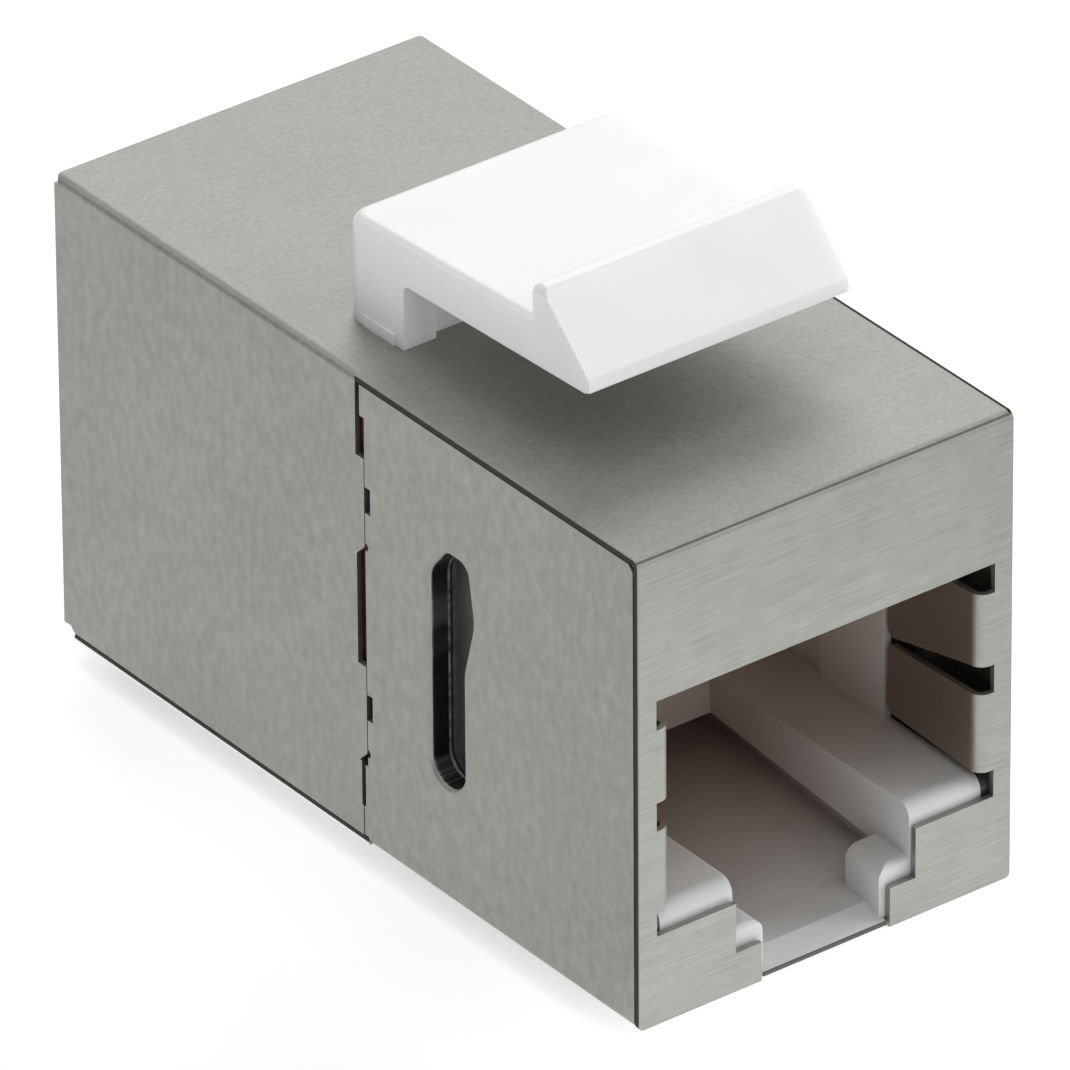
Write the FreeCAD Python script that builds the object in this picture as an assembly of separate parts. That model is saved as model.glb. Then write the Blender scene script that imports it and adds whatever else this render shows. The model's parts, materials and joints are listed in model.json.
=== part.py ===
import FreeCAD, Part
import math
import os

os.makedirs("parts", exist_ok=True)

V = FreeCAD.Vector

# ---------------------------------------------------------------- body
BODY_W = 14.50            # keystone width
BODY_H = 16.74            # height of the sheet-metal box
BODY_L = 29.72            # front face to rear face
SHEET = 0.20              # shell sheet thickness
BEND_OUT = 0.28           # outside radius of every fold
BEND_IN = BEND_OUT - SHEET
EDGE_GAP = 0.05           # gap left between two folded sheets
DIE_ROLL = 0.04           # rolled-over outer edge of a stamped sheet
EDGE_R = 0.20             # small rounding of sheet corners
OVER = 0.10               # overlap where two solids are joined
LAP = 0.02                # the same where there is little room
HALF_W = BODY_W / 2.0
INNER_W = HALF_W - SHEET
INNER_TOP = BODY_H - SHEET
FAR = BODY_L              # length of a tool that goes right through

# ---------------------------------------------------------------- board in the middle
BOARD_T = 1.60
BOARD_Y0 = BODY_L / 2.0 - BOARD_T / 2.0
BOARD_Y1 = BODY_L / 2.0 + BOARD_T / 2.0
BOARD_X = INNER_W - 0.13
BOARD_Z0 = SHEET * 2.5
BOARD_Z1 = BODY_H - SHEET * 2.5
BOARD_R = 0.60
HOLE_R = 0.32

# ---------------------------------------------------------------- seam between the two shells
SEAM_REAR = BODY_L / 2.0 - 0.72             # front edge of the rear side panels
SEAM_FRONT = SEAM_REAR - 0.45               # rear edge of the front side panels
SEAM_HAIR = 0.04                            # hairline at the tip of a seam tab
SEAM_TOOTH = 3.54                           # height of a seam tab at its root
SEAM_TAPER = 0.42                           # slant of its lower edge
SEAM_TOPS = (BODY_H - 2.82, BODY_H * 0.385)
SEAM_TIP_LOW, SEAM_TIP_HIGH = 1.90, 0.97    # notch before a tab tip, down from the tab's top
SEAM_TIP_Y = SEAM_FRONT - 0.27
SEAM_RELIEF_R = 0.14
SEAM_HIGH_Z = BODY_H - 1.34                 # stepped rear edge, from the top down
SEAM_HIGH_Y = SEAM_FRONT + 0.23
SEAM_HEEL_Z = 1.32
SEAM_HEEL_Y = SEAM_FRONT + 0.21
SEAM_FOOT_Y = SEAM_FRONT + 0.13
SEAM_STEP = 0.05                            # gap kept along the stepped foot

# ---------------------------------------------------------------- port
PORT_X = HALF_W - 0.70    # half width of the opening at the bend reliefs
PORT_TOP = BODY_H - 5.14
PORT_SHELF = 3.20         # lower edge of the wide part
PORT_HIGH = PORT_TOP - PORT_SHELF
STEP1_X, STEP1_Z = 3.50, 1.42
STEP2_X = 2.50
TAB_X = PORT_X - 0.60     # inner face of the fold-in grounding tabs
TAB_BEND = 0.45
TAB_DEPTH = 4.50
TAB_TIP_R = 0.30
TAB_SPANS = ((0.568, 0.877, 0.458, 0.845), (0.115, 0.449, 0.137, 0.431))    # of PORT_HIGH

# ---------------------------------------------------------------- oblong hole in the front side panels
OBLONG_FRONT = 8.80
OBLONG_REAR = OBLONG_FRONT + 1.64
OBLONG_Z0, OBLONG_Z1 = 4.12, BODY_H - 4.24
OBLONG_BULGE = 0.52       # how far the front edge bulges near the top
OBLONG_BULGE_LOW, OBLONG_BULGE_MID = 3.90, 1.95
OBLONG_BULGE_R = 1.50
OBLONG_TIP_R = 0.45
OBLONG_BACK_R = 0.90
OBLONG_WALL = 0.22
OBLONG_DEPTH = 0.80       # flange depth from the outer face
OBLONG_LIP_R = 0.18

# ---------------------------------------------------------------- plastic housing
FIT = 0.06                # housing to shell
HOUSE_X = INNER_W - FIT
HOUSE_Z0 = SHEET + FIT
HOUSE_Z1 = INNER_TOP - FIT
HOUSE_Y0 = SHEET + FIT
HOUSE_Y1 = BOARD_Y0 - 1.36
HOUSE_R = 0.30
CAV_X = TAB_X
SHELF_Z = PORT_SHELF + 0.70
CEIL_Z = PORT_TOP + 0.10
BACK_Y = 10.20            # plug stop: lug plus the 8.18 to 8.36 of a plug's nose
CHAN_X = 3.45
LUG_X = 2.27
LUG_Y = 1.92
LUG_Z = 2.10
LUG_R, LUG_FRONT_R = 0.45, 0.20
FLOOR_Z0, FLOOR_Z1 = 0.62, 1.35
UNDER_X = 4.30
UNDER_Z0, UNDER_Z1 = 1.80, 2.47
UNDER_Y = HOUSE_Y1 - 0.80 # the undercut runs on below the back wall
GATE_LAP = 0.60
SILL_Y = 0.05             # sill in the lowest step of the opening, just behind the front face
SILL_GAP = 0.10
SILL_TOP = 0.24
SILL_IN = 0.90            # where its sloping top meets the floor of the channel
LEAD_R = 0.50
POCKET_LAP = 0.20
FLANGE_FIT = 0.32
RELIEF_Y = BACK_Y - 2.35  # shallow relief at the inner end of the cavity walls
RELIEF_IN = 0.20
RELIEF_REST = 0.30
PEG_R = 0.60
PEG_X = CAV_X
PEG_ROOT = 0.50
PEG_INSET = 1.15
PEG_AIR = 0.02

# ---------------------------------------------------------------- contacts
PITCH = 1.02
N_CONTACTS = 8
WIRE_W = 0.36             # across the row
WIRE_T = 0.28             # thickness of the formed wire
WIRE_FIT = 0.05
CAR_FIT = 0.06
CAR_PLATE_Z0 = CEIL_Z + CAR_FIT
CAR_PLATE_Z1 = CAR_PLATE_Z0 + 1.46
ROW_A = CAR_PLATE_Z1 + 0.23           # height of the straight tails
ROW_B = ROW_A + 1.35                  # height of the stepped tails
STEP_Y = BOARD_Y0 - 0.74              # where the stepped tails turn up
STEP_R = 0.30
TAIL_Y = BOARD_Y1 + 0.75
TURN_Y = 2.80             # front of the U bend
TURN_LOW = CEIL_Z - 0.95
TURN_R, SPRING_R = 0.85, 0.75
TIP_Y, TIP_Z = BACK_Y + 0.65, CEIL_Z - 4.25

# ---------------------------------------------------------------- contact carrier
BAY_X = CAV_X - 0.25
BAY_Y = TURN_Y - 0.45
BAY_TOP = ROW_A + 1.40
CAR_X = BAY_X - CAR_FIT
CAR_NOSE_Y = TURN_Y + WIRE_T / 2.0 + WIRE_FIT
CAR_NOSE_R = 0.60
CAR_Y1 = HOUSE_Y1 - 0.15
CAR_TOP = BAY_TOP - CAR_FIT
CAR_BLOCK_Y = CAR_Y1 - 3.95
CAR_BLOCK_R = 0.40
CAR_WALL_AIR = 0.02
SLOT_W = WIRE_W + 0.20
SLOT_BEHIND, SLOT_BELOW = 0.45, 0.60
RIB_Z = CAR_PLATE_Z1 + 0.58
RIB_Y = CAR_NOSE_Y + 1.21
RIB_T = 0.30

# ---------------------------------------------------------------- latch clip
FOOT_W = 1.90
FOOT_Y0 = BOARD_Y1 + 0.24
FOOT_Y1 = FOOT_Y0 + 0.70
FOOT_DROP = 0.62
FOOT_HOOK = 0.25
FOOT_FIT = 0.05
BARB_AIR, BARB_LOW, BARB_HIGH = 0.04, 0.55, 0.15
LATCH_FRONT_X, LATCH_REAR_X = HALF_W - 2.25, HALF_W - 2.00
LATCH_REAR_Y = FOOT_Y1 + 0.75
LATCH_POST_Y = FOOT_Y0 - 1.55
LATCH_NOTCH_Y = LATCH_REAR_Y - 9.35
LATCH_TIP_Y = LATCH_NOTCH_Y - 2.75
PLATE_REAR_Z, PLATE_FRONT_Z = 3.62, 3.95      # top of the arm above the body
UNDER_REAR_Z, UNDER_FRONT_Z = 2.32, 2.54      # underside of the arm above the body
RIDGE_Z = 5.25
RIDGE_FLAT = 0.50
LIP_FACE_Z = 3.08
LIP_LEAN, LIP_EDGE, LIP_CHAMFER = 0.07, 0.10, 0.25
LATCH_CORNER_R = 0.75
LATCH_RIM_R = 0.40
LATCH_END_R = 0.20         # rounded ends of the ridge
LATCH_RIDGE_R, LATCH_EDGE_R, LATCH_ROOT_R = 0.22, 0.15, 0.25
RECESS_EDGE, RECESS_DEPTH = 1.30, 0.30
LEDGE_Z = 0.40
LEDGE_Y0, LEDGE_Y1 = LATCH_POST_Y + 0.40, LATCH_REAR_Y - 1.05
LEDGE_OUT = 0.02
FOOT_X = LATCH_REAR_X - 1.95

# ---------------------------------------------------------------- lanced catches under the body
LANCE_DROP = 1.10
LANCE_X = HALF_W - 3.85
LANCE_SLIT = 0.12
LANCE_THIN = 0.09
HOOK_ROOT, HOOK_TIP = LATCH_NOTCH_Y - 2.30, LATCH_NOTCH_Y - 0.05
STOP_TIP, STOP_ROOT = HOOK_TIP + 1.80, HOOK_TIP + 4.05

# ---------------------------------------------------------------- rear corners
REAR_CORNER_R = 0.30
REAR_NOTCH_Z = 0.44       # notch at the lower rear corner of the side panels
REAR_BEND = 0.54


# ================================================================ helpers
def box(x0, x1, y0, y1, z0, z1):
    return Part.makeBox(x1 - x0, y1 - y0, z1 - z0, V(x0, y0, z0))


def wide_box(half, y0, y1, z0, z1):
    return box(-half, half, y0, y1, z0, z1)


def both_sides(shape):
    """The shape and its mirror image across the middle plane."""
    return [shape, shape.mirror(V(0, 0, 0), V(1, 0, 0))]


def fuse(shapes):
    out = shapes[0]
    if len(shapes) > 1:
        out = out.multiFuse(shapes[1:])
    return out.removeSplitter()


def cut(shape, tools):
    return shape.cut(Part.makeCompound(tools))


def side_prism(points, x0, x1):
    """Prism of a (y, z) outline between two x planes."""
    pts = [V(x0, y, z) for y, z in points]
    face = Part.Face(Part.makePolygon(pts + [pts[0]]))
    return face.extrude(V(x1 - x0, 0, 0))


def plan_prism(points, z0, z1):
    pts = [V(x, y, z0) for x, y in points]
    face = Part.Face(Part.makePolygon(pts + [pts[0]]))
    return face.extrude(V(0, 0, z1 - z0))


def edge_line(edge):
    """Direction and middle of a straight edge, or None."""
    if edge.Curve.TypeId != "Part::GeomLine":
        return None
    a = edge.Vertexes[0].Point
    b = edge.Vertexes[-1].Point
    return (b - a).normalize(), (a + b) * 0.5


def pick(shape, axis, test):
    """Straight edges along one axis whose middle passes the test."""
    found = []
    for edge in shape.Edges:
        line = edge_line(edge)
        if line is None:
            continue
        if abs(line[0][axis]) > 0.98 and test(line[1]):
            found.append(edge)
    return found


def near(a, b, tol=0.02):
    return abs(a - b) < tol


def fillet(shape, radius, axis, test):
    edges = pick(shape, axis, test)
    return shape.makeFillet(radius, edges) if edges else shape


def turned(shape):
    """Half a turn about the crosswise axis through the middle of the body."""
    out = shape.copy()
    out.rotate(V(0, BODY_L / 2.0, BODY_H / 2.0), V(1, 0, 0), 180)
    return out


def save(shape, name):
    """Stand the part on its lowest point, centred on the body length."""
    out = shape.copy()
    out.translate(V(0, -BODY_L / 2.0, LANCE_DROP))
    out.exportStep("parts/" + name + ".step")


# ================================================================ sheet shells
def port_cut():
    """Stepped opening through a port face lying at y = 0."""
    depth = SHEET * 4.0
    return [wide_box(PORT_X, -depth, depth, PORT_SHELF, PORT_TOP),
            wide_box(STEP1_X, -depth, depth, STEP1_Z, PORT_SHELF + OVER),
            wide_box(STEP2_X, -depth, depth, -depth, STEP1_Z + OVER)]


def fold_in_tab(spans):
    """Grounding tab folded back into the port from the edge of the opening."""
    z0, z1, tip0, tip1 = [PORT_SHELF + part * PORT_HIGH for part in spans]
    height = z1 - z0
    centre = V(TAB_X + TAB_BEND, TAB_BEND, z0)
    outer = Part.makeCylinder(TAB_BEND, height, centre)
    inner = Part.makeCylinder(TAB_BEND - SHEET, height, centre)
    quarter = box(TAB_X, TAB_X + TAB_BEND, 0, TAB_BEND, z0, z1)
    bend = outer.cut(inner).common(quarter)
    root = box(TAB_X + TAB_BEND, PORT_X + LAP, 0, SHEET, z0, z1)
    leaf = side_prism([(TAB_BEND, z0), (TAB_DEPTH, tip0), (TAB_DEPTH, tip1), (TAB_BEND, z1)],
                      TAB_X, TAB_X + SHEET)
    leaf = fillet(leaf, TAB_TIP_R, 0, lambda m: near(m.y, TAB_DEPTH))
    return fuse([bend, root, leaf])


def port_tabs():
    tabs = []
    for spans in TAB_SPANS:
        tabs += both_sides(fold_in_tab(spans))
    return tabs


def front_and_top():
    """Top panel of the front half with the front face folded down from it."""
    outer = wide_box(HALF_W, 0, SEAM_REAR, 0, BODY_H)
    outer = fillet(outer, BEND_OUT, 0, lambda m: near(m.y, 0) and near(m.z, BODY_H))
    inner = wide_box(BODY_W, SHEET, BODY_L, -BODY_H, INNER_TOP)
    inner = fillet(inner, BEND_IN, 0, lambda m: near(m.y, SHEET) and near(m.z, INNER_TOP))
    part = outer.cut(inner)
    part = fillet(part, EDGE_R, 1, lambda m: near(m.z, 0) and m.y < SHEET)
    return part


def rear_cover():
    """Top panel of the rear half with both side panels folded down."""
    outer = wide_box(HALF_W, SEAM_REAR, BODY_L, SHEET + EDGE_GAP, BODY_H)
    outer = fillet(outer, BEND_OUT, 1, lambda m: near(m.z, BODY_H))
    inner = wide_box(INNER_W, 0, BODY_L * 2.0, -BODY_H, INNER_TOP)
    inner = fillet(inner, BEND_IN, 1, lambda m: near(m.z, INNER_TOP))
    part = outer.cut(inner)
    corner = wide_box(BODY_W, BODY_L - REAR_BEND, BODY_L + OVER, 0, REAR_NOTCH_Z)
    return part.cut(corner)


def rear_corner_relief():
    """Rounded corners of the top panel over the rear face."""
    radius = REAR_CORNER_R
    block = box(HALF_W - radius, HALF_W + OVER, BODY_L - radius, BODY_L + OVER,
                BODY_H - BEND_OUT, BODY_H + OVER)
    post = Part.makeCylinder(radius, FAR, V(HALF_W - radius, BODY_L - radius, 0))
    return both_sides(block.cut(post))


def seam_tabs():
    """Flat tabs on the rear side panels, and the stepped foot of the seam."""
    parts = []
    tip = SEAM_FRONT + SEAM_HAIR
    for top in SEAM_TOPS:
        low = top - SEAM_TOOTH
        outline = [(SEAM_REAR + OVER, low), (SEAM_REAR, low), (tip, low + SEAM_TAPER), (tip, top),
                   (SEAM_REAR + OVER, top)]
        parts += both_sides(side_prism(outline, INNER_W, HALF_W))
    low = SHEET + EDGE_GAP
    high = min(SEAM_TOPS) - SEAM_TOOTH + LAP
    foot = box(INNER_W, HALF_W, SEAM_REAR - 0.12, SEAM_REAR + OVER, low, high)
    heel = box(INNER_W, HALF_W, SEAM_HEEL_Y + SEAM_STEP, SEAM_REAR + OVER, low, SEAM_HEEL_Z)
    return parts + both_sides(foot) + both_sides(heel)


def foot_slots():
    slot = box(FOOT_X - FOOT_W / 2.0 - FOOT_FIT, FOOT_X + FOOT_W / 2.0 + FOOT_FIT,
               FOOT_Y0 - FOOT_FIT, FOOT_Y1 + FOOT_FIT, INNER_TOP - OVER, BODY_H + OVER)
    return both_sides(slot)


def make_top_shell():
    shell = fuse([front_and_top(), rear_cover()] + seam_tabs())
    shell = cut(shell, port_cut() + rear_corner_relief() + foot_slots())
    shell = fuse([shell] + port_tabs())
    return fillet(shell, DIE_ROLL, 1, lambda m: near(abs(m.x), HALF_W) and near(m.z, BODY_H)
                  and m.y < SEAM_REAR)


def front_trough():
    """Bottom panel of the front half with both side panels folded up."""
    top = INNER_TOP - EDGE_GAP
    front = SHEET + EDGE_GAP
    outer = wide_box(HALF_W, front, SEAM_FRONT, 0, top)
    outer = fillet(outer, BEND_OUT, 1, lambda m: near(m.z, 0))
    inner = wide_box(INNER_W, -FAR, FAR, SHEET, top + OVER)
    inner = fillet(inner, BEND_IN, 1, lambda m: near(m.z, SHEET))
    part = outer.cut(inner)
    corner = side_prism([(front - OVER, top + OVER), (front - OVER, top - EDGE_R - OVER),
                         (front + EDGE_R + OVER, top + OVER)], -FAR, FAR)
    return part.cut(corner)


def seam_steps():
    """Stepped rear edge of the front side panels."""
    top = INNER_TOP - EDGE_GAP
    start = SEAM_FRONT - OVER
    high = box(INNER_W, HALF_W, start, SEAM_HIGH_Y, SEAM_HIGH_Z, top)
    low_top = min(SEAM_TOPS) - SEAM_TOOTH - SEAM_STEP
    low = box(INNER_W, HALF_W, start, SEAM_FOOT_Y, SEAM_HEEL_Z, low_top)
    heel = box(INNER_W, HALF_W, start, SEAM_HEEL_Y, BEND_OUT, SEAM_HEEL_Z + LAP)
    return both_sides(high) + both_sides(low) + both_sides(heel)


def seam_notches():
    """Notches in front of the tab tips and the round reliefs at their lower corners."""
    cuts = []
    for top in SEAM_TOPS:
        cuts += both_sides(box(INNER_W - OVER, HALF_W + OVER, SEAM_TIP_Y, SEAM_FRONT + LAP,
                               top - SEAM_TIP_LOW, top - SEAM_TIP_HIGH))
        centre = V(INNER_W - OVER, SEAM_FRONT, top - SEAM_TOOTH + SEAM_TAPER)
        cuts += both_sides(Part.makeCylinder(SEAM_RELIEF_R, SHEET * 2.0, centre, V(1, 0, 0)))
    return cuts


def rear_face_and_floor():
    """Bottom panel of the rear half with the rear face folded up between the side panels."""
    top = INNER_TOP - EDGE_GAP
    half = INNER_W - EDGE_GAP
    panel = wide_box(HALF_W, SEAM_FRONT, BODY_L - REAR_BEND, 0, SHEET)
    outer = wide_box(half, SEAM_FRONT, BODY_L, 0, top)
    outer = fillet(outer, BEND_OUT, 0, lambda m: near(m.z, 0) and near(m.y, BODY_L))
    inner = wide_box(BODY_W, 0, BODY_L - SHEET, SHEET, top + OVER)
    inner = fillet(inner, BEND_IN, 0, lambda m: near(m.z, SHEET) and near(m.y, BODY_L - SHEET))
    return fuse([panel, outer.cut(inner)])


def rounded_outline(points, radii):
    """Closed (y, z) outline with every corner rounded, as a wire in the plane x = 0."""
    pts = [V(0, y, z) for y, z in points]
    count = len(pts)
    arcs = []
    for i in range(count):
        back = (pts[i - 1] - pts[i]).normalize()
        ahead = (pts[(i + 1) % count] - pts[i]).normalize()
        half = math.acos(max(-1.0, min(1.0, back.dot(ahead)))) / 2.0
        inward = (back + ahead).normalize()
        setback = radii[i] / math.tan(half)
        middle = pts[i] + inward * (radii[i] / math.sin(half) - radii[i])
        arcs.append((pts[i] + back * setback, middle, pts[i] + ahead * setback))
    edges = []
    for i in range(count):
        edges.append(Part.Arc(*arcs[i]).toShape())
        edges.append(Part.makeLine(arcs[i][2], arcs[(i + 1) % count][0]))
    return Part.Wire(edges)


def oblong(grow, x0, x1):
    """Oblong hole with its front edge bulging near the top, as a solid along x."""
    rear, front = OBLONG_REAR, OBLONG_FRONT
    low, high = OBLONG_Z0, OBLONG_Z1
    middle = (rear + front) / 2.0
    round_end = (rear - front) * 0.475
    points = [(rear, low), (front, low), (front, high - OBLONG_BULGE_LOW),
              (front - OBLONG_BULGE, high - OBLONG_BULGE_MID), (front - OBLONG_BULGE * 0.4, high),
              (middle, high), (rear, high - (rear - front) * 0.6)]
    radii = [round_end, round_end, OBLONG_BULGE_R, OBLONG_BULGE_R, OBLONG_TIP_R, OBLONG_TIP_R, OBLONG_BACK_R]
    wire = rounded_outline(points, radii)
    if grow:
        wire = wire.makeOffset2D(grow)
    solid = Part.Face(wire).extrude(V(x1 - x0, 0, 0))
    solid.translate(V(x0, 0, 0))
    return solid


def lance(root, tip):
    """Tongue cut from the bottom panel and pressed down to a step."""
    return side_prism([(root, SHEET), (root, 0), (tip, -LANCE_DROP), (tip, SHEET + LANCE_THIN - LANCE_DROP)],
                      -LANCE_X, LANCE_X)


def lance_window(root, tip):
    y0, y1 = min(root, tip), max(root, tip)
    if tip > root:
        y1 += LANCE_SLIT
    else:
        y0 -= LANCE_SLIT
    return wide_box(LANCE_X + LANCE_SLIT, y0, y1, -SHEET, SHEET * 2.0)


def make_bottom_shell():
    shell = fuse([front_trough(), rear_face_and_floor()] + seam_steps())
    collars = both_sides(oblong(OBLONG_WALL, HALF_W - OBLONG_DEPTH, INNER_W + LAP))
    shell = fuse([shell] + collars)
    windows = [lance_window(HOOK_ROOT, HOOK_TIP), lance_window(STOP_ROOT, STOP_TIP)]
    rear_port = [turned(tool) for tool in port_cut()]
    holes = both_sides(oblong(0.0, HALF_W - OBLONG_DEPTH * 2.0, HALF_W + OVER))
    shell = cut(shell, windows + rear_port + holes + seam_notches())
    tongues = [lance(HOOK_ROOT, HOOK_TIP), lance(STOP_ROOT, STOP_TIP)]
    shell = fuse([shell] + tongues + [turned(tab) for tab in port_tabs()])
    return round_oblong_mouth(shell)


def round_oblong_mouth(shell):
    """Drawn-in rim of the oblong holes."""
    rim = []
    for edge in shell.Edges:
        box_ = edge.BoundBox
        flat = near(abs(box_.XMin), HALF_W, 0.001) and near(box_.XLength, 0, 0.001)
        along = box_.YMin > OBLONG_FRONT - OBLONG_BULGE - OVER and box_.YMax < OBLONG_REAR + OVER
        inside = along and box_.ZMin > OBLONG_Z0 - OVER and box_.ZMax < OBLONG_Z1 + OVER
        if flat and inside:
            rim.append(edge)
    return shell.makeFillet(OBLONG_LIP_R, rim) if rim else shell


# ================================================================ housing
def plug_space():
    """Everything a plug fills: main cavity, latch channel and the undercut behind the lugs."""
    main = wide_box(CAV_X, -SHEET, BACK_Y, SHELF_Z, CEIL_Z)
    channel = wide_box(CHAN_X, -SHEET, BACK_Y, LUG_Z, SHELF_Z + OVER)
    gate = side_prism([(-SHEET, SILL_TOP), (SILL_Y, SILL_TOP), (SILL_IN, FLOOR_Z0),
                       (LUG_Y + GATE_LAP, FLOOR_Z0),
                       (LUG_Y + GATE_LAP, LUG_Z + OVER), (-SHEET, LUG_Z + OVER)],
                      -LUG_X, LUG_X)
    under = side_prism([(LUG_Y, FLOOR_Z0), (LUG_Y + GATE_LAP, FLOOR_Z0), (BACK_Y, FLOOR_Z1),
                        (UNDER_Y, FLOOR_Z1), (UNDER_Y, UNDER_Z1), (BACK_Y, UNDER_Z1), (LUG_Y, UNDER_Z0)],
                       -UNDER_X, UNDER_X)
    link = side_prism([(LUG_Y, UNDER_Z0 - OVER), (BACK_Y, UNDER_Z1 - OVER), (BACK_Y, SHELF_Z),
                       (LUG_Y, SHELF_Z)],
                      -CHAN_X, CHAN_X)
    return [main, channel, gate, under, link]


def tab_pockets():
    """Room for the fold-in tabs."""
    return both_sides(box(CAV_X - OVER, HALF_W, 0, TAB_DEPTH + POCKET_LAP, SHELF_Z, CEIL_Z + OVER))


def flange_pockets():
    """Room for the drawn flange of the side oblong."""
    front = OBLONG_FRONT - OBLONG_BULGE - OBLONG_WALL
    rear = OBLONG_REAR + OBLONG_WALL
    room = box(HALF_W - OBLONG_DEPTH - EDGE_GAP, HALF_W, front - FLANGE_FIT, rear + FLANGE_FIT,
               OBLONG_Z0 - OBLONG_WALL - FLANGE_FIT, OBLONG_Z1 + OBLONG_WALL + FLANGE_FIT)
    return both_sides(room)


def wall_reliefs():
    relief = box(CAV_X - OVER, CAV_X + RELIEF_IN, RELIEF_Y, BACK_Y - RELIEF_REST,
                 SHELF_Z + OVER, CEIL_Z - GATE_LAP)
    return both_sides(relief)


def sill():
    """Sill in the lowest step of the opening, hanging before the edge of the bottom panel."""
    slope = (FLOOR_Z0 - SILL_TOP) / (SILL_IN - SILL_Y)
    root = HOUSE_Y0 + OVER
    outline = [(SILL_Y, SILL_GAP), (SHEET + LAP, SILL_GAP), (SHEET + LAP, HOUSE_Z0), (root, HOUSE_Z0),
               (root, SILL_TOP + slope * (root - SILL_Y)), (SILL_Y, SILL_TOP)]
    return side_prism(outline, SILL_GAP - STEP2_X, STEP2_X - SILL_GAP)


def spacer_pegs():
    """Pegs that hold the board off the housing."""
    pegs = []
    reach = BOARD_Y0 - PEG_AIR - HOUSE_Y1
    for z in (PEG_INSET, BODY_H - PEG_INSET):
        peg = Part.makeCylinder(PEG_R, reach + PEG_ROOT, V(PEG_X, HOUSE_Y1 - PEG_ROOT, z), V(0, 1, 0))
        pegs += both_sides(peg)
    return pegs


def housing_block():
    block = wide_box(HOUSE_X, HOUSE_Y0, HOUSE_Y1, HOUSE_Z0, HOUSE_Z1)
    return fillet(block, HOUSE_R, 1, lambda m: True)


def shelf_lead_in():
    """Rounding over the front edge of the shelves."""
    half = PORT_X + LAP
    block = wide_box(half, HOUSE_Y0 - OVER, HOUSE_Y0 + LEAD_R, SHELF_Z - LEAD_R, SHELF_Z + OVER)
    roll = Part.makeCylinder(LEAD_R, 2 * half, V(-half, HOUSE_Y0 + LEAD_R, SHELF_Z - LEAD_R), V(1, 0, 0))
    return block.cut(roll)


def lug_rounding():
    """Rounded top corners of the latch lugs, along and across the channel."""
    r = LUG_R
    block = box(LUG_X - OVER, LUG_X + r, HOUSE_Y0 - OVER, LUG_Y + OVER, LUG_Z - r, LUG_Z + OVER)
    along = block.cut(Part.makeCylinder(r, FAR, V(LUG_X + r, HOUSE_Y0 - r, LUG_Z - r), V(0, 1, 0)))
    f = LUG_FRONT_R
    block = box(LUG_X - OVER, CHAN_X, HOUSE_Y0 - OVER, HOUSE_Y0 + f, LUG_Z - f, LUG_Z + OVER)
    across = block.cut(Part.makeCylinder(f, FAR, V(0, HOUSE_Y0 + f, LUG_Z - f), V(1, 0, 0)))
    return both_sides(along) + both_sides(across)


def make_housing(extra):
    part = fuse([housing_block()] + extra)
    bay = [wide_box(BAY_X, BAY_Y, HOUSE_Y1 + OVER, CEIL_Z - OVER, BAY_TOP),
           wide_box(BAY_X, BACK_Y - OVER, HOUSE_Y1 + OVER, SHELF_Z, BAY_TOP)]
    part = cut(part, plug_space() + bay)
    part = cut(part, lug_rounding() + [shelf_lead_in()])
    part = cut(part, tab_pockets() + flange_pockets() + wall_reliefs())
    return fuse([part] + spacer_pegs())


# ================================================================ contacts
def contact_x(index):
    return (index - (N_CONTACTS - 1) / 2.0) * PITCH


def round_path(points, radii):
    """Wire of straight runs joined by tangent arcs in the plane x = 0."""
    pts = [V(0, y, z) for y, z in points]
    edges = []
    start = pts[0]
    for i in range(1, len(pts) - 1):
        back = (pts[i - 1] - pts[i]).normalize()
        ahead = (pts[i + 1] - pts[i]).normalize()
        half = math.acos(max(-1.0, min(1.0, back.dot(ahead)))) / 2.0
        setback = radii[i - 1] / math.tan(half)
        a = pts[i] + back * setback
        b = pts[i] + ahead * setback
        centre_dir = (back + ahead).normalize()
        centre = pts[i] + centre_dir * (radii[i - 1] / math.sin(half))
        mid = centre - centre_dir * radii[i - 1]
        edges.append(Part.makeLine(start, a))
        edges.append(Part.Arc(a, mid, b).toShape())
        start = b
    edges.append(Part.makeLine(start, pts[-1]))
    return Part.Wire(edges)


def contact_shape(stepped):
    """One formed spring contact from its solder tail to its free tip."""
    spring = [(TURN_Y, ROW_A), (TURN_Y, TURN_LOW), (TIP_Y, TIP_Z)]
    bends = [TURN_R, SPRING_R]
    if stepped:
        tail = [(TAIL_Y, ROW_B), (STEP_Y, ROW_B), (STEP_Y, ROW_A)]
        bends = [STEP_R, STEP_R] + bends
    else:
        tail = [(TAIL_Y, ROW_A)]
    path = round_path(tail + spring, bends)
    z = tail[0][1]
    w, t = WIRE_W / 2.0, WIRE_T / 2.0
    corners = [V(-w, TAIL_Y, z - t), V(w, TAIL_Y, z - t), V(w, TAIL_Y, z + t), V(-w, TAIL_Y, z + t)]
    section = Part.makePolygon(corners + [corners[0]])
    wire = path.makePipeShell([section], True, True)
    return wire


def make_contacts():
    shapes = [contact_shape(False), contact_shape(True)]
    out = []
    for i in range(N_CONTACTS):
        wire = shapes[i % 2].copy()
        wire.translate(V(contact_x(i), 0, 0))
        out.append(wire)
    return out


# ================================================================ contact carrier
def carrier_ribs():
    """Ribs between the wires on top of the plate."""
    ribs = []
    for i in range(N_CONTACTS + 1):
        x = (i - N_CONTACTS / 2.0) * PITCH
        ribs.append(box(x - RIB_T / 2.0, x + RIB_T / 2.0, RIB_Y, CAR_BLOCK_Y + OVER,
                        CAR_PLATE_Z1 - OVER, RIB_Z))
    return ribs


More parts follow.
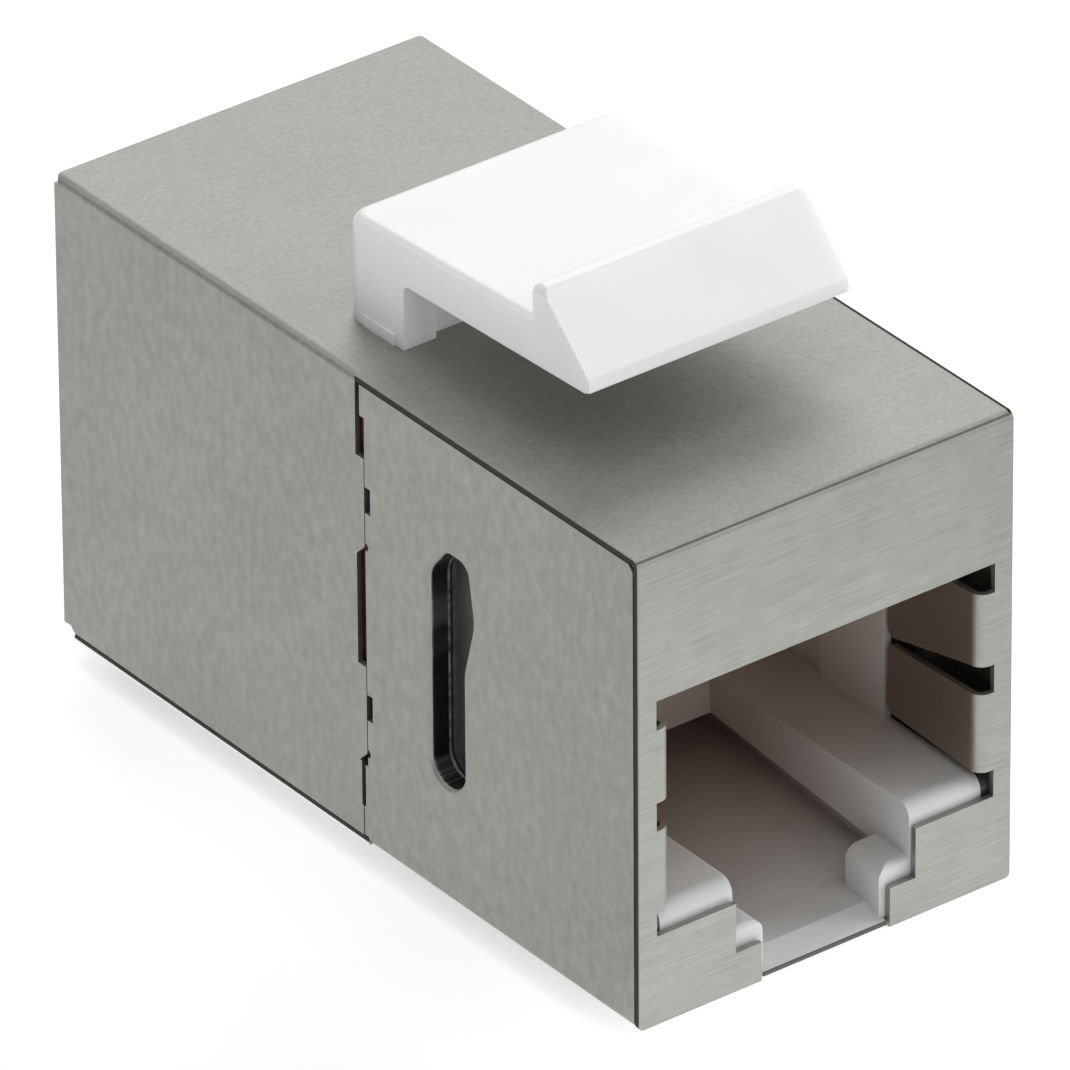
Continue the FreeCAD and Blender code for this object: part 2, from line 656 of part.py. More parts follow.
def wire_tunnels():
    half = WIRE_W / 2.0 + WIRE_FIT
    low, high = ROW_A - WIRE_T / 2.0 - WIRE_FIT, ROW_A + WIRE_T / 2.0 + WIRE_FIT
    cuts = []
    for i in range(N_CONTACTS):
        x = contact_x(i)
        cuts.append(box(x - half, x + half, CAR_BLOCK_Y - OVER, CAR_Y1 + OVER, low, high))
        cuts.append(box(x - SLOT_W / 2.0, x + SLOT_W / 2.0, BACK_Y - OVER, TIP_Y + SLOT_BEHIND,
                        TIP_Z - SLOT_BELOW, CEIL_Z + LAP))
    return cuts


def make_carrier():
    plate = wide_box(CAR_X, CAR_NOSE_Y, CAR_Y1, CAR_PLATE_Z0, CAR_PLATE_Z1)
    plate = fillet(plate, CAR_NOSE_R, 0, lambda m: near(m.y, CAR_NOSE_Y))
    wall = wide_box(CAR_X, BACK_Y + CAR_WALL_AIR, CAR_Y1, SHELF_Z + CAR_FIT, CAR_PLATE_Z0 + OVER)
    block = wide_box(CAR_X, CAR_BLOCK_Y, CAR_Y1, CAR_PLATE_Z1 - OVER, CAR_TOP)
    block = fillet(block, CAR_BLOCK_R, 0, lambda m: near(m.y, CAR_BLOCK_Y) and near(m.z, CAR_TOP))
    part = fuse([plate, wall, block] + carrier_ribs())
    return cut(part, wire_tunnels())


# ================================================================ board
def make_board():
    board = wide_box(BOARD_X, BOARD_Y0, BOARD_Y1, BOARD_Z0, BOARD_Z1)
    board = fillet(board, BOARD_R, 1, lambda m: True)
    holes = []
    for i in range(N_CONTACTS):
        row = ROW_B if i % 2 else ROW_A
        for z in (row, BODY_H - row):
            start = V(contact_x(i), BOARD_Y0 - OVER, z)
            holes.append(Part.makeCylinder(HOLE_R, BOARD_T * 2.0, start, V(0, 1, 0)))
    return cut(board, holes)


# ================================================================ latch clip
def latch_profile():
    h = BODY_H
    slope_y = LATCH_TIP_Y + LIP_LEAN
    return [(LATCH_REAR_Y, h), (LATCH_REAR_Y, h + PLATE_REAR_Z), (LATCH_NOTCH_Y, h + PLATE_FRONT_Z),
            (LATCH_NOTCH_Y, h + RIDGE_Z), (LATCH_NOTCH_Y - RIDGE_FLAT, h + RIDGE_Z),
            (slope_y, h + LIP_FACE_Z), (LATCH_TIP_Y, h + UNDER_FRONT_Z + LIP_EDGE),
            (LATCH_TIP_Y + LIP_CHAMFER, h + UNDER_FRONT_Z), (LATCH_POST_Y, h + UNDER_REAR_Z),
            (LATCH_POST_Y, h)]


def latch_plan():
    front = LATCH_TIP_Y - LAP
    plan = plan_prism([(-LATCH_FRONT_X, front), (LATCH_FRONT_X, front), (LATCH_REAR_X, LATCH_REAR_Y),
                       (-LATCH_REAR_X, LATCH_REAR_Y)], BODY_H, BODY_H + RIDGE_Z * 1.5)
    return fillet(plan, LATCH_CORNER_R, 2, lambda m: near(m.y, LATCH_REAR_Y))


def latch_edges(part):
    """Soft edges of the moulding."""
    h = BODY_H
    rules = [(LATCH_RIDGE_R, LATCH_NOTCH_Y - RIDGE_FLAT, h + RIDGE_Z),
             (LATCH_EDGE_R, LATCH_NOTCH_Y, h + RIDGE_Z),
             (LATCH_EDGE_R, LATCH_TIP_Y + LIP_LEAN, h + LIP_FACE_Z),
             (LATCH_ROOT_R, LATCH_POST_Y, h + UNDER_REAR_Z)]
    for radius, y, z in rules:
        part = fillet(part, radius, 0, lambda m: near(m.y, y) and near(m.z, z))
    return part


def latch_feet():
    """Feet that pass through the top panel and hook under it."""
    leg = box(FOOT_X - FOOT_W / 2.0, FOOT_X + FOOT_W / 2.0, FOOT_Y0, FOOT_Y1,
              INNER_TOP - FOOT_DROP, BODY_H + OVER)
    under = INNER_TOP - BARB_AIR
    barb = side_prism([(FOOT_Y1 - OVER, under - BARB_LOW), (FOOT_Y1 + LAP, under - BARB_LOW),
                       (FOOT_Y1 + FOOT_HOOK, under - BARB_HIGH), (FOOT_Y1 + FOOT_HOOK, under),
                       (FOOT_Y1 - OVER, under)], FOOT_X - FOOT_W / 2.0, FOOT_X + FOOT_W / 2.0)
    return both_sides(fuse([leg, barb]))


def make_latch():
    body = side_prism(latch_profile(), -FAR, FAR).common(latch_plan())
    body = latch_edges(body)
    body = fillet_latch_top(body)
    recess = wide_box(LATCH_REAR_X - RECESS_EDGE, LATCH_POST_Y - OVER, LATCH_POST_Y + RECESS_DEPTH,
                      BODY_H - OVER, BODY_H + UNDER_REAR_Z - RECESS_DEPTH)
    body = body.cut(recess)
    ledge = box(LATCH_REAR_X - RECESS_DEPTH, LATCH_REAR_X + LEDGE_OUT, LEDGE_Y0, LEDGE_Y1,
                BODY_H, BODY_H + LEDGE_Z)
    return fuse([body.cut(Part.makeCompound(ridge_ends()))] + both_sides(ledge) + latch_feet())


def ridge_ends():
    """Rounded top corners at both ends of the ridge."""
    r = LATCH_END_R
    x, z = LATCH_FRONT_X, BODY_H + RIDGE_Z
    block = box(x - r, x + SHEET, LATCH_TIP_Y, LATCH_NOTCH_Y, z - r, z + OVER)
    return both_sides(block.cut(Part.makeCylinder(r, FAR, V(x - r, 0, z - r), V(0, 1, 0))))


def fillet_latch_top(body):
    """Rounded rim of the arm: side edges, rear edge and the two rear corners."""
    rim = []
    for edge in body.Edges:
        b = edge.BoundBox
        wide = abs(b.XMin) > LATCH_FRONT_X - OVER and abs(b.XMax) > LATCH_FRONT_X - OVER
        above = b.ZMin > BODY_H + (UNDER_FRONT_Z + PLATE_REAR_Z) / 2.0
        side = wide and above and b.YLength > LATCH_TIP_Y * 0.6
        rear = above and b.YMin > LATCH_REAR_Y - LATCH_CORNER_R * 1.2 and b.ZLength < EDGE_R
        if side or rear:
            rim.append(edge)
    return body.makeFillet(LATCH_RIM_R, rim)


# ================================================================ build
def main():
    save(make_top_shell(), "top_shell")
    save(make_bottom_shell(), "bottom_shell")
    save(make_latch(), "latch_clip")
    save(make_board(), "circuit_board")
    save(make_housing([sill()]), "front_housing")
    save(turned(make_housing([])), "rear_housing")
    carrier = make_carrier()
    save(carrier, "front_contact_carrier")
    save(turned(carrier), "rear_contact_carrier")
    for i, wire in enumerate(make_contacts()):
        save(wire, "front_contact_%d" % (i + 1))
        save(turned(wire), "rear_contact_%d" % (i + 1))


main()
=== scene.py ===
import json
import math

import bpy
from mathutils import Matrix, Vector


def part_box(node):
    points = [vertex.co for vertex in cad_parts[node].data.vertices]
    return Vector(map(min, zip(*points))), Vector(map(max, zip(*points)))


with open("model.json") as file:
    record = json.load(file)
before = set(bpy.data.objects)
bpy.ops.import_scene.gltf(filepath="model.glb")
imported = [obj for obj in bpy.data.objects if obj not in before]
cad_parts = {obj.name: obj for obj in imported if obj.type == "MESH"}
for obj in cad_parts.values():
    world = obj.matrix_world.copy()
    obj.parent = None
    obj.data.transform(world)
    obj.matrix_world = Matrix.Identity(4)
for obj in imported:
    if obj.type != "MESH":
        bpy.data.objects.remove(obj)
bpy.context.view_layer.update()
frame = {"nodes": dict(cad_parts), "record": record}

MM = 0.001

# ---------------------------------------------------------------- the object, in metres
LOW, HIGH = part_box("top_shell")
UNDERSIDE = LOW[2]
BODY_TOP = HIGH[2]
BODY_FRONT = LOW[1]
HALF_W = HIGH[0]
HALF_L = HIGH[1]
MIDDLE = Vector((0.0, 0.0, (UNDERSIDE + BODY_TOP) / 2.0))

# Sheet: its edges, folds, tabs and the collars of the oblong holes.
SHEET = 0.20 * MM             # thickness
EDGE_SPARE = 0.005 * MM       # past the edge of the front panel
SEAM_REAR = -0.72 * MM        # where the rear side panels begin
SEAM_FRONT = -1.17 * MM       # where the front side panels end
BURNISH = 0.08 * MM           # bright part of the sheared edge: burnish with a painted highlight
FACE_SKIN = 0.05 * MM         # depth taken as lying on an outer face
SIDE_SQUARE = 0.95            # sideways part of the normal on a flat side face
SIDE_SLANTED = 0.60           # and on its rounded border
MARGIN_W = 0.13 * MM          # painted shade: dark margin of the top panel along its right edge
MARGIN_DEPTH = 0.06 * MM
FOLD_HIGH, FOLD_LOW = 0.055 * MM, 0.115 * MM      # painted dark reflection line along the front fold, down from the top
FOLD_DEPTH = 0.12 * MM                            # and back from the front
TAB_INSET = 0.65 * MM                             # inside the case
TAB_Y = (10.1 * MM, HALF_L - 0.24 * MM)           # from the middle
TAB_Z = (3.0 * MM, 15.5 * MM)
COLLAR_Y = (BODY_FRONT + 8.0 * MM, BODY_FRONT + 10.7 * MM)
COLLAR_Z = (UNDERSIDE + 3.0 * MM, BODY_TOP - 3.0 * MM)
COLLAR_MOUTH, COLLAR_EDGE, COLLAR_END = 0.10 * MM, 0.70 * MM, 0.84 * MM    # depths from the outer face

# Housing: where its painted shade changes, from the middle along the body.
INNER_FROM, INNER_TO = 6.0 * MM, 14.2 * MM        # painted shade, darker and browner, to plain
DEEP_FROM, DEEP_TO = 8.0 * MM, 4.5 * MM           # plain to painted deep-brown shade on the channel floor
FLOOR_DEPTH = 1.6 * MM                            # floor of the channel, from the outer face
SIDE_SKIN = 1.0 * MM                              # housing side faces painted near-black as shadow, seen through the oblong holes
# depth of the sills' painted shadow line, from the ends
SILL_SKIN = 0.08 * MM

# Scale of the sheet's brushing in turns per metre along x, y and z, on the sides, ends and top.
BRUSH_SIDE = (0.0, 2700.0, 1700.0)
BRUSH_END = (350.0, 0.0, 11000.0)
BRUSH_TOP = (5200.0, 6200.0, 0.0)
TOP_LIGHTER = 0.12            # painted light: the top panel drawn lighter than the sides and ends
TOP_ROUGHER = 0.09

# ---------------------------------------------------------------- colours, linear
SHEET_DARK = (0.252, 0.256, 0.233)
SHEET_MID = (0.319, 0.324, 0.298)
SHEET_LIGHT = (0.386, 0.392, 0.363)
TAB_DARK, TAB_LIGHT = (0.34, 0.28, 0.25), (0.38, 0.32, 0.285)
# painted shade: the collar walls near-black inside the oblong holes
COLLAR_SHADE_DARK, COLLAR_SHADE_LIGHT = (0.045, 0.047, 0.042), (0.240, 0.245, 0.225)
# painted highlight: glinting streaks on the collars' inner ends
RIM_GLINT_DARK, RIM_GLINT_LIGHT = (0.16, 0.165, 0.15), (0.85, 0.86, 0.82)
# painted reflection: the dark line along the front fold
FOLD_PAINTED_REFLECTION = (0.13, 0.132, 0.12)
# near-black sheared edges: raw sheet edge, darkened further with painted shade of the gaps beside it
EDGE_RAW_AND_SHADE = (0.03, 0.03, 0.027)
# burnish of the sheared edge, brightened with a painted highlight
EDGE_BRIGHT = (0.86, 0.87, 0.84)

LATCH_DARK, LATCH_LIGHT = (0.78, 0.78, 0.77), (0.82, 0.82, 0.81)
HOUSING_DARK, HOUSING_LIGHT = (0.54, 0.545, 0.545), (0.60, 0.605, 0.605)
# painted shade: darker, browner housing deeper inside the ports
INNER_SHADE_DARK, INNER_SHADE_LIGHT = (0.42, 0.35, 0.325), (0.47, 0.40, 0.37)
# painted shade: deep-brown channel floors far inside the ports
INNER_FLOOR_SHADE = (0.305, 0.240, 0.220)
# painted shadow: near-black housing sides behind the oblong holes
HOUSING_SIDE_SHADOW = (0.030, 0.031, 0.026)
# painted shadow: dark line on the housing's sills
SILL_SHADOW_LINE = (0.050, 0.052, 0.046)
CARRIER_DARK, CARRIER_LIGHT = (0.50, 0.44, 0.41), (0.56, 0.50, 0.465)
BOARD_DARK, BOARD_LIGHT = (0.16, 0.045, 0.03), (0.27, 0.085, 0.05)
GOLD_DARK, GOLD_LIGHT = (0.78, 0.55, 0.20), (0.90, 0.68, 0.30)

# ---------------------------------------------------------------- camera
AZIMUTH = math.radians(-37.223)
ELEVATION = math.radians(31.083)
ROLL = math.radians(-0.419)
DISTANCE = 0.5439             # from the middle of the body, in metres
LENS_MM = 589.5
SENSOR_MM = 36.0
AIM_RIGHT = 0.149 * MM        # how far the camera stands off the line through that middle
AIM_UP = -0.332 * MM

# ---------------------------------------------------------------- light and floor
WORLD_GLOW = 0.33
FLOOR_GLOW = 0.30
FLOOR_HALF = 3.0              # half the floor's width, in metres
# Glowing patches of the floor, painted pools of light: middle, reach and strength.
TABLE_PATCH = ((-4.0 * MM, 2.0 * MM, 0.0), 34.0 * MM, 0.23)        # lifts the contact shadow
PORT_PATCH = ((4.0 * MM, -25.0 * MM, 0.0), 25.0 * MM, 0.50)        # painted pool of light before the port
CORNER_PATCH = ((-6.0 * MM, -20.0 * MM, 0.0), 10.0 * MM, 0.35)     # painted pool of light before the port's left foot
# Square soft lights: name, place and width in metres, power in watts.
LIGHTS = (
    ("back", (0.50, 0.62, 0.50), 0.60, 2.38),
    ("rear", (-0.40, 0.60, 0.60), 0.40, 0.8),
    ("top", (0.00, 0.10, 0.90), 0.40, 1.5),
    ("key", (-0.25, -0.30, 0.75), 0.40, 1.0),
    ("front", (0.35, -0.35, 0.65), 0.40, 0.3),
    ("low", (-0.10, -0.80, 0.20), 0.40, 0.3),
    ("side", (0.75, -0.25, 0.22), 0.40, 4.9),
)


# ================================================================ node helpers
class Graph:
    """A small wrapper round a material's node tree."""

    def __init__(self, name):
        self.material = bpy.data.materials.new(name)
        self.material.use_nodes = True
        self.tree = self.material.node_tree
        self.tree.nodes.clear()
        out = self.tree.nodes.new("ShaderNodeOutputMaterial")
        self.shader = self.tree.nodes.new("ShaderNodeBsdfPrincipled")
        self.tree.links.new(self.shader.outputs[0], out.inputs["Surface"])
        coords = self.tree.nodes.new("ShaderNodeTexCoord")
        self.place = coords.outputs["Object"]
        self.normal = coords.outputs["Normal"]

    def put(self, target, value):
        """Links a socket, or sets a plain value or colour, on an input."""
        if isinstance(value, bpy.types.NodeSocket):
            self.tree.links.new(value, target)
        elif isinstance(value, tuple) and len(target.default_value) == 4:
            target.default_value = (*value, 1.0)
        else:
            target.default_value = value

    def shade(self, name, value):
        """Sets or links an input of the shader."""
        self.put(self.shader.inputs[name], value)

    # ---- numbers
    def math(self, operation, a, b=0.0):
        """The result of one operation on two numbers or sockets."""
        node = self.tree.nodes.new("ShaderNodeMath")
        node.operation = operation
        self.put(node.inputs[0], a)
        self.put(node.inputs[1], b)
        return node.outputs[0]

    def size(self, value):
        return self.math("ABSOLUTE", value)

    def reach(self, value, start, end):
        """0 at the start value rising to 1 at the end one."""
        node = self.tree.nodes.new("ShaderNodeMapRange")
        self.put(node.inputs["Value"], value)
        node.inputs["From Min"].default_value = start
        node.inputs["From Max"].default_value = end
        return node.outputs[0]

    def span(self, value, low, high):
        """Maps a 0..1 value onto low..high."""
        node = self.tree.nodes.new("ShaderNodeMapRange")
        self.put(node.inputs["Value"], value)
        node.inputs["To Min"].default_value = low
        node.inputs["To Max"].default_value = high
        return node.outputs[0]

    def mix_of(self, a, share, b):
        """share of a and the rest of b."""
        return self.math("ADD", self.math("MULTIPLY", a, share), self.math("MULTIPLY", b, 1.0 - share))

    # ---- masks, 0 or 1
    def above(self, value, limit):
        return self.math("GREATER_THAN", value, limit)

    def below(self, value, limit):
        return self.math("LESS_THAN", value, limit)

    def between(self, value, low, high):
        return self.every([self.above(value, low), self.below(value, high)])

    def every(self, masks):
        out = masks[0]
        for mask in masks[1:]:
            out = self.math("MULTIPLY", out, mask)
        return out

    def any(self, masks):
        out = masks[0]
        for mask in masks[1:]:
            out = self.math("MAXIMUM", out, mask)
        return out

    # ---- places and directions
    def split(self, vector):
        """The x, y and z of a vector."""
        node = self.tree.nodes.new("ShaderNodeSeparateXYZ")
        self.put(node.inputs[0], vector)
        return [node.outputs[axis] for axis in range(3)]

    def facing(self):
        """Weights 0..1 of the surface facing across, along and up."""
        weights = []
        for part in self.split(self.normal):
            part = self.size(part)
            weights.append(self.math("MULTIPLY", part, part))
        return weights

    def by_face(self, side, end, top):
        """The scale of whichever way the surface mostly faces."""
        faces = [self.above(weight, 0.5) for weight in self.facing()]
        node = self.tree.nodes.new("ShaderNodeCombineXYZ")
        for axis in range(3):
            parts = [self.math("MULTIPLY", face, scale[axis])
                     for face, scale in zip(faces, (side, end, top))]
            self.put(node.inputs[axis], self.math("ADD", self.math("ADD", parts[0], parts[1]), parts[2]))
        return node.outputs[0]

    def patch(self, centre, reach, strength):
        """Soft round bump of the given strength, fading to nothing at its reach."""
        gap = self.tree.nodes.new("ShaderNodeVectorMath")
        gap.operation = "DISTANCE"
        self.put(gap.inputs[0], self.place)
        gap.inputs[1].default_value = centre
        fade = self.tree.nodes.new("ShaderNodeMapRange")
        fade.interpolation_type = "SMOOTHSTEP"
        self.put(fade.inputs["Value"], gap.outputs["Value"])
        fade.inputs["From Max"].default_value = reach
        fade.inputs["To Min"].default_value = strength
        fade.inputs["To Max"].default_value = 0.0
        return fade.outputs[0]

    # ---- textures and colours
    def noise(self, scale, detail=2.0, rough=0.5):
        """Noise with its scale in turns per metre, one for all axes or one for each."""
        if isinstance(scale, float):
            scale = (scale, scale, scale)
        spread = self.tree.nodes.new("ShaderNodeMapping")
        self.put(spread.inputs["Scale"], scale)
        self.put(spread.inputs["Vector"], self.place)
        node = self.tree.nodes.new("ShaderNodeTexNoise")
        node.inputs["Scale"].default_value = 1.0
        node.inputs["Detail"].default_value = detail
        node.inputs["Roughness"].default_value = rough
        self.put(node.inputs["Vector"], spread.outputs[0])
        return node.outputs[0]

    def ramp(self, value, stops):
        """Colours in order, each at its place between 0 and 1."""
        node = self.tree.nodes.new("ShaderNodeValToRGB")
        first, last = node.color_ramp.elements
        first.position, last.position = stops[0][0], stops[-1][0]
        first.color, last.color = (*stops[0][1], 1.0), (*stops[-1][1], 1.0)
        for place, colour in stops[1:-1]:
            node.color_ramp.elements.new(place).color = (*colour, 1.0)
        self.put(node.inputs[0], value)
        return node.outputs[0]

    def blend(self, mask, plain, masked):
        """One colour where the mask is 0, the other where it is 1."""
        node = self.tree.nodes.new("ShaderNodeMix")
        node.data_type = "RGBA"
        self.put(node.inputs["Factor"], mask)
        self.put(node.inputs[6], plain)
        self.put(node.inputs[7], masked)
        return node.outputs[2]

    def bump(self, height, strength, depth):
        """Fine relief of the surface, in metres."""
        node = self.tree.nodes.new("ShaderNodeBump")
        node.inputs["Strength"].default_value = strength
        node.inputs["Distance"].default_value = depth
        self.put(node.inputs["Height"], height)
        self.shade("Normal", node.outputs[0])


# ================================================================ regions of the sheet
def raw_edges_and_shade(g):
    """Sheared edges of the front, the top and the rear bottom panel, dark as raw edges and darkened
    further with painted shade of the gaps beside them, and the top's right margin as a painted shadow.
    """
    x, y, z = g.split(g.place)
    across = g.size(g.split(g.normal)[0])
    outer = g.every([g.above(across, SIDE_SQUARE), g.above(g.size(x), HALF_W - FACE_SKIN)])
    front = g.below(y, BODY_FRONT + SHEET + EDGE_SPARE)
    top = g.every([g.below(y, SEAM_REAR), g.above(z, BODY_TOP - SHEET)])
    low = g.every([g.above(y, SEAM_FRONT), g.between(z, UNDERSIDE + BURNISH, UNDERSIDE + SHEET)])
    margin = g.every([g.above(x, HALF_W - MARGIN_W), g.below(y, SEAM_REAR),
                      g.above(z, BODY_TOP - MARGIN_DEPTH)])
    return g.any([g.every([outer, g.any([front, top, low])]), margin])


def fold_reflection_line(g):
    """Painted dark reflection: a thin line along the middle of the fold between the top and the front.
    """
    y, z = g.split(g.place)[1:]
    return g.every([g.below(y, BODY_FRONT + FOLD_DEPTH),
                    g.between(z, BODY_TOP - FOLD_LOW, BODY_TOP - FOLD_HIGH)])


def burnished_edge_and_highlight(g):
    """Bright lower part of the sheared edge of the bottom panel: its burnish, brightened with a painted
    highlight.
    """
    x, y, z = g.split(g.place)
    across = g.size(g.split(g.normal)[0])
    return g.every([g.above(across, SIDE_SLANTED), g.above(g.size(x), HALF_W - FACE_SKIN),
                    g.above(y, SEAM_FRONT), g.below(z, UNDERSIDE + BURNISH)])


def tab_faces(g):
    """The fold-in tabs of both ports, in a browner tone than the outside."""
    x, y, z = g.split(g.place)
    return g.every([g.below(g.size(x), HALF_W - TAB_INSET),
                    g.between(g.size(y), *TAB_Y), g.between(z, *TAB_Z)])


def collar_walls(g, deep, shallow):
    """Inside of the drawn collars round the oblong holes, between two depths from the outer face."""
    x, y, z = g.split(g.place)
    return g.every([g.between(g.size(x), HALF_W - deep, HALF_W - shallow),
                    g.between(y, *COLLAR_Y), g.between(z, *COLLAR_Z)])


# ================================================================ materials
def sheet_material():
    """Satin nickel-plated sheet, brushed up and down on the sides and across on the ends."""
    g = Graph("brushed_nickel_sheet")
    up = g.facing()[2]
    grain = g.noise(g.by_face(BRUSH_SIDE, BRUSH_END, BRUSH_TOP), 3.0, 0.6)
    cloud = g.noise(220.0, 3.0, 0.55)
    mottle = g.noise(1300.0, 2.0, 0.6)
    tone = g.mix_of(grain, 0.6, g.mix_of(cloud, 0.5, mottle))
    # painted light: the top panel made lighter than the sides and ends by how much it faces up
    lit = g.math("ADD", tone, g.math("MULTIPLY", up, TOP_LIGHTER))

    plate = g.ramp(lit, [(0.28, SHEET_DARK), (0.5, SHEET_MID), (0.72, SHEET_LIGHT)])
    tabs = g.ramp(cloud, [(0.3, TAB_DARK), (0.7, TAB_LIGHT)])
    walls = g.ramp(g.noise((0.0, 9000.0, 500.0), 2.0, 0.6), [(0.45, COLLAR_SHADE_DARK), (0.68, COLLAR_SHADE_LIGHT)])
    rim = g.ramp(g.noise((0.0, 0.0, 1500.0), 2.0, 0.6), [(0.35, RIM_GLINT_DARK), (0.6, RIM_GLINT_LIGHT)])
    plate = g.blend(tab_faces(g), plate, tabs)
    # painted shade: the collars' inner walls drawn dark
    plate = g.blend(collar_walls(g, COLLAR_EDGE, COLLAR_MOUTH), plate, walls)
    # painted highlight: glinting inner ends of the collars
    plate = g.blend(collar_walls(g, COLLAR_END, COLLAR_EDGE), plate, rim)
    # painted reflection: dark line along the front fold
    plate = g.blend(fold_reflection_line(g), plate, FOLD_PAINTED_REFLECTION)
    # burnish of the bottom panel's edge, with a painted highlight
    plate = g.blend(burnished_edge_and_highlight(g), plate, EDGE_BRIGHT)
    # painted shade: near-black raw edges and gaps, and a dark margin along the top's right edge
    g.shade("Base Color", g.blend(raw_edges_and_shade(g), plate, EDGE_RAW_AND_SHADE))
    g.shade("Roughness", g.math("ADD", g.span(tone, 0.40, 0.56), g.math("MULTIPLY", up, TOP_ROUGHER)))
    g.shade("Metallic", 1.0)
    g.bump(grain, 0.25, 0.03 * MM)
    return g.material


def housing_colour(g, cloud, plain):
    """Plain near the ports, with painted shade: browner and darker deeper inside, deep brown on the
    channel floors, near-black on the sides seen through the oblong holes, and a dark line on the sills.
    """
    x, y, z = g.split(g.place)
    x, y = g.size(x), g.size(y)
    # painted shade: darker and browner towards the middle of the body
    inner = g.ramp(cloud, [(0.3, INNER_SHADE_DARK), (0.7, INNER_SHADE_LIGHT)])
    colour = g.blend(g.reach(y, INNER_FROM, INNER_TO), inner, plain)
    # painted shade: the channel floors darken deeper inside
    floors = g.any([g.below(z, UNDERSIDE + FLOOR_DEPTH), g.above(z, BODY_TOP - FLOOR_DEPTH)])
    colour = g.blend(g.every([floors, g.reach(y, DEEP_FROM, DEEP_TO)]), colour, INNER_FLOOR_SHADE)
    # painted shadow: the housing's sides drawn near-black
    colour = g.blend(g.above(x, HALF_W - SIDE_SKIN), colour, HOUSING_SIDE_SHADOW)
    # painted shadow: dark line on the sills
    return g.blend(g.above(y, HALF_L - SILL_SKIN), colour, SILL_SHADOW_LINE)


def plastic_material(name, dark, light, rough, coat, glow=0.12, colouring=None):
    """Moulded plastic with faint flow clouding and a fine skin."""
    g = Graph(name)
    cloud = g.noise(260.0, 3.0, 0.5)
    skin = g.noise(5200.0, 2.0, 0.5)
    colour = g.ramp(cloud, [(0.3, dark), (0.7, light)])
    if colouring:
        colour = colouring(g, cloud, colour)
    g.shade("Base Color", colour)
    g.shade("Roughness", g.span(skin, rough - 0.05, rough + 0.07))
    g.shade("Coat Weight", coat)
    g.shade("Coat Roughness", 0.25)
    g.shade("Subsurface Weight", glow)
    g.shade("Subsurface Radius", (1.0, 0.95, 0.9))
    g.shade("Subsurface Scale", 2.5 * MM * glow)
    g.bump(skin, 0.12, 0.01 * MM)
    return g.material


def board_material():
    """Reddish-brown laminate with its plies showing on the cut edge."""
    g = Graph("laminate_board")
    plies = g.noise((300.0, 9000.0, 300.0), 2.0, 0.5)
    g.shade("Base Color", g.ramp(plies, [(0.3, BOARD_DARK), (0.7, BOARD_LIGHT)]))
    g.shade("Roughness", g.span(plies, 0.45, 0.65))
    g.bump(plies, 0.2, 0.02 * MM)
    return g.material


def contact_material():
    """Gold over nickel on drawn spring wire."""
    g = Graph("gold_contact")
    draw = g.noise((9000.0, 700.0, 9000.0), 2.0, 0.5)
    g.shade("Base Color", g.ramp(draw, [(0.3, GOLD_DARK), (0.7, GOLD_LIGHT)]))
    g.shade("Roughness", g.span(draw, 0.18, 0.32))
    g.shade("Metallic", 1.0)
    g.bump(draw, 0.1, 0.01 * MM)
    return g.material


def floor_material():
    """Pale floor that glows a little, more in patches painted as glowing pools of light that the sheet
    reflects.
    """
    g = Graph("pale_floor")
    g.shade("Base Color", (0.80, 0.80, 0.80))
    g.shade("Roughness", 0.8)
    g.shade("Specular IOR Level", 0.1)
    g.shade("Emission Color", (1.0, 1.0, 1.0))
    # painted pools of light: the glowing patches on the floor
    glow = g.math("ADD", g.patch(*TABLE_PATCH), g.patch(*PORT_PATCH))
    glow = g.math("ADD", glow, g.patch(*CORNER_PATCH))
    g.shade("Emission Strength", g.math("ADD", glow, FLOOR_GLOW))
    g.material.cycles.emission_sampling = "NONE"
    return g.material


def dress():
    """Gives every carried-over node its material."""
    finishes = {
        "shell_sheet": sheet_material(),
        "latch_plastic": plastic_material("white_latch", LATCH_DARK, LATCH_LIGHT, 0.36, 0.2, glow=0.30),
        "housing_plastic": plastic_material("white_housing", HOUSING_DARK, HOUSING_LIGHT, 0.42, 0.1,
                                            colouring=housing_colour),
        "carrier_plastic": plastic_material("white_carrier", CARRIER_DARK, CARRIER_LIGHT, 0.45, 0.05),
        "board": board_material(),
        "contact_gold": contact_material(),
    }
    slots = {part["node"]: part["material_slot"] for part in frame["record"]["subparts"]}
    for name, obj in frame["nodes"].items():
        obj.data.materials.clear()
        obj.data.materials.append(finishes[slots[name]])


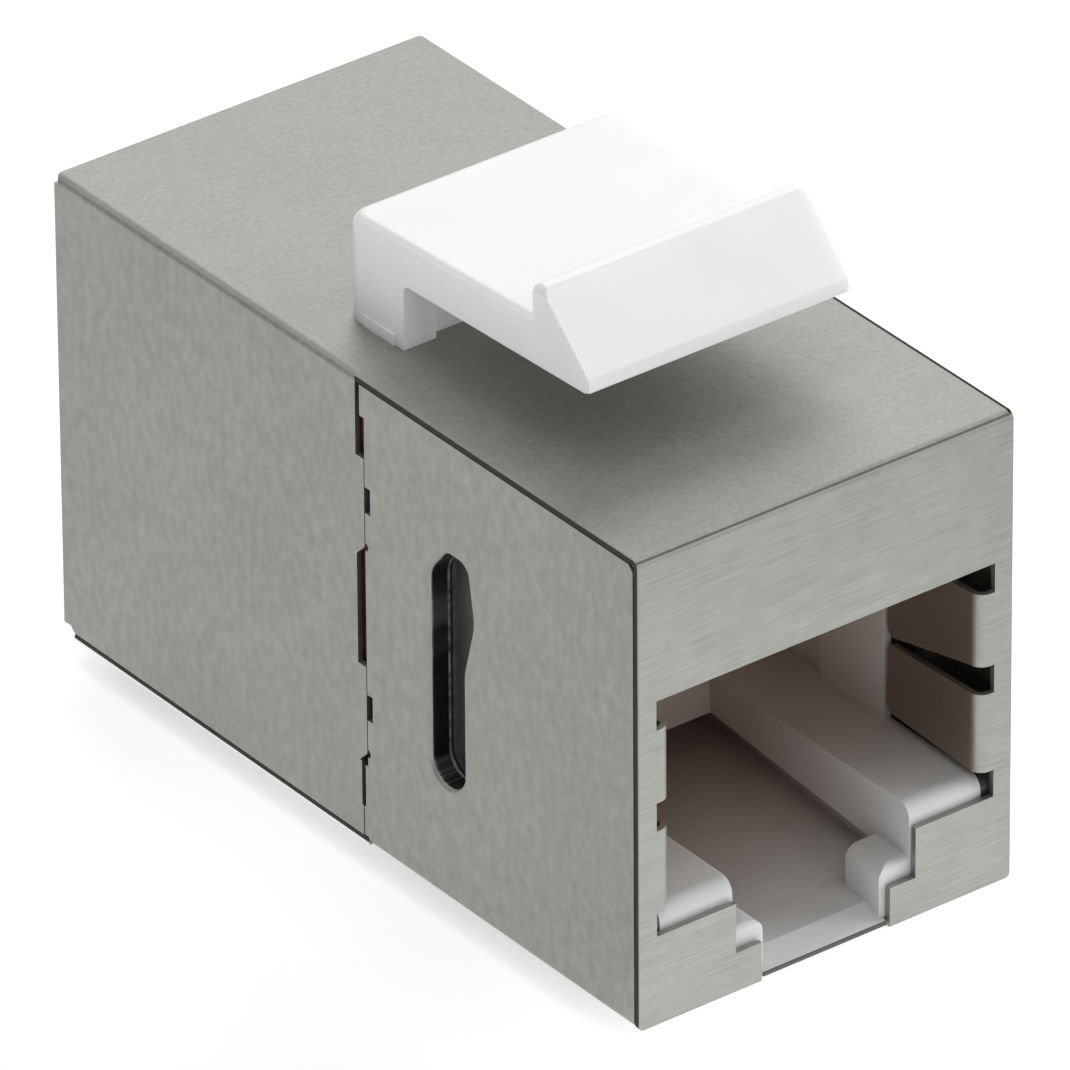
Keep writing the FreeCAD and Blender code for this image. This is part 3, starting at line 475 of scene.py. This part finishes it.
# ================================================================ floor, light, camera
def add_floor():
    """Plain square floor under the part."""
    mesh = bpy.data.meshes.new("floor")
    s = FLOOR_HALF
    mesh.from_pydata([(-s, -s, 0), (s, -s, 0), (s, s, 0), (-s, s, 0)], [], [(0, 1, 2, 3)])
    mesh.materials.append(floor_material())
    floor = bpy.data.objects.new("floor", mesh)
    bpy.context.collection.objects.link(floor)


def add_world():
    """Even white surroundings."""
    world = bpy.data.worlds.new("studio")
    world.use_nodes = True
    background = world.node_tree.nodes["Background"]
    background.inputs[0].default_value = (1.0, 1.0, 1.0, 1.0)
    background.inputs[1].default_value = WORLD_GLOW
    bpy.context.scene.world = world


def add_lights():
    """Soft square lights aimed at the middle of the body."""
    for name, place, width, power in LIGHTS:
        lamp = bpy.data.lights.new(name, "AREA")
        lamp.shape = "RECTANGLE"
        lamp.size = lamp.size_y = width
        lamp.energy = power
        obj = bpy.data.objects.new(name, lamp)
        obj.location = place
        obj.rotation_euler = (MIDDLE - Vector(place)).to_track_quat("-Z", "Y").to_euler()
        bpy.context.collection.objects.link(obj)


def add_camera():
    """Camera at the photograph's viewing angle."""
    back = Vector((math.sin(AZIMUTH) * math.cos(ELEVATION),
                   -math.cos(AZIMUTH) * math.cos(ELEVATION),
                   math.sin(ELEVATION)))
    level = Vector((math.cos(AZIMUTH), math.sin(AZIMUTH), 0.0))
    upright = back.cross(level)
    right = level * math.cos(ROLL) + upright * math.sin(ROLL)
    up = upright * math.cos(ROLL) - level * math.sin(ROLL)
    place = MIDDLE + back * DISTANCE + right * AIM_RIGHT + up * AIM_UP
    data = bpy.data.cameras.new("camera")
    data.lens = LENS_MM
    data.sensor_width = SENSOR_MM
    data.clip_start = 0.01
    data.clip_end = 20.0
    camera = bpy.data.objects.new("camera", data)
    camera.matrix_world = Matrix.Translation(place) @ Matrix((right, up, back)).transposed().to_4x4()
    bpy.context.collection.objects.link(camera)
    bpy.context.scene.camera = camera


bpy.context.scene.view_settings.view_transform = "Standard"
dress()
add_floor()
add_world()
add_lights()
add_camera()
